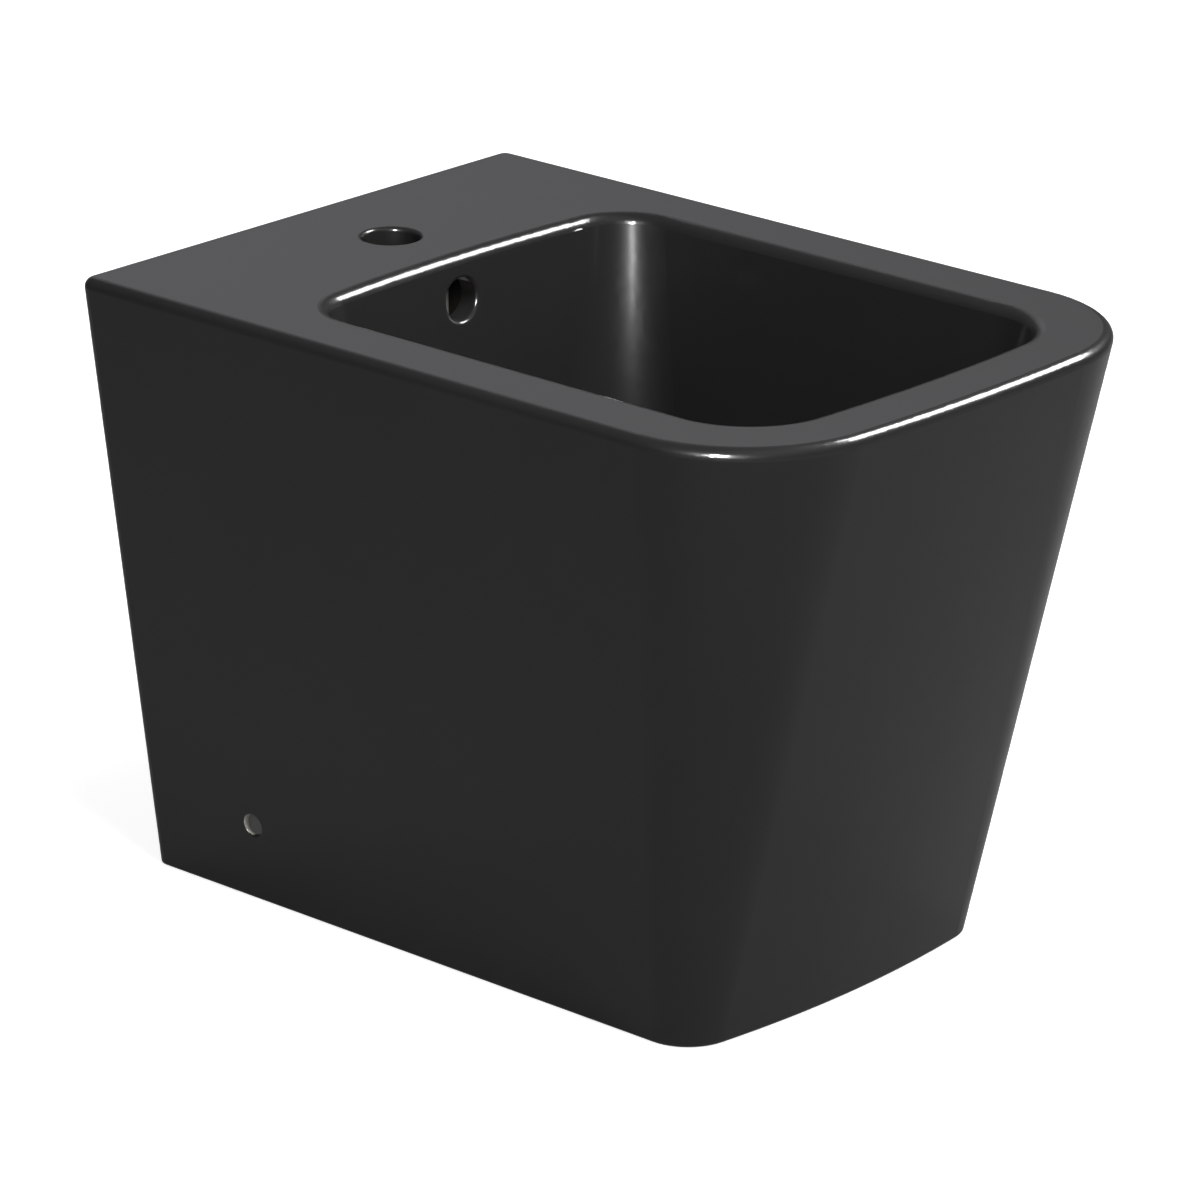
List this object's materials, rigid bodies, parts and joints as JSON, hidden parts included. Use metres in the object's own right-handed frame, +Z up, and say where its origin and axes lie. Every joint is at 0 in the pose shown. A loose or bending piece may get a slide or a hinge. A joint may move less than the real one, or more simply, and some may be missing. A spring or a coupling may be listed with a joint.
{
  "type": "bidet",
  "caption": "Floor-standing back-to-wall bidet in satin black ceramic: tapered pedestal, drafted basin, rear deck with tap hole, push-open waste and bottle trap.",
  "frame": {"origin": "on the floor, at the middle of the overall length and width", "axes": "+Z up, -Y towards the user at the bowed front, +Y towards the wall, +X across to the right as seen from the front looking at the wall"},
  "size_m": [0.36, 0.525, 0.38],
  "materials": {
    "glaze_black": "satin black glaze, fired",
    "chrome": "polished chrome plate on brass",
    "brass": "plain turned brass",
    "stainless": "plain stainless steel",
    "rubber_black": "moulded black rubber",
    "trap_white": "moulded white polypropylene",
    "nylon_grey": "moulded grey nylon",
    "cap_dark": "moulded dark cover cap, matt"
  },
  "bodies": {
    "fixture": {"ceramic_body": "glaze_black", "waste_body": "chrome", "waste_flange_seal": "rubber_black", "waste_lower_seal": "rubber_black", "waste_washer": "stainless", "waste_back_nut": "brass", "click_cartridge": "brass", "plug_spring": "stainless", "trap_inlet_washer": "rubber_black", "trap_dip_tube": "trap_white", "trap_inlet_nut": "trap_white", "trap_collar_nut": "trap_white", "trap_collar_seal": "rubber_black", "trap_body": "trap_white", "trap_cup": "trap_white", "trap_cup_seal": "rubber_black", "trap_outlet_nut": "trap_white", "trap_outlet_seal": "rubber_black", "outlet_pipe": "trap_white", "floor_bracket_left": "nylon_grey", "fixing_sleeve_left": "nylon_grey", "fixing_screw_left": "stainless", "fixing_nut_left": "stainless", "floor_bracket_right": "nylon_grey", "fixing_sleeve_right": "nylon_grey", "fixing_screw_right": "stainless", "fixing_nut_right": "stainless"},
    "plug": {"plug_cap": "chrome", "plug_seal": "rubber_black", "plug_plunger": "stainless"},
    "cap_left": {"fixing_cap_left": "cap_dark"},
    "cap_right": {"fixing_cap_right": "cap_dark"}
  },
  "joints": [
    {"name": "plug_press", "type": "slide", "parent": "fixture", "child": "plug", "axis": [0, 0, -1], "range_m": [0, 0.008], "stiffness_N_per_m": 400, "springref_m": -0.01, "deforming": ["plug_spring"]},
    {"name": "cap_left_pull", "type": "slide", "parent": "fixture", "child": "cap_left", "axis": [-1, 0, 0], "range_m": [0, 0.02]},
    {"name": "cap_right_pull", "type": "slide", "parent": "fixture", "child": "cap_right", "axis": [1, 0, 0], "range_m": [0, 0.02]}
  ]
}
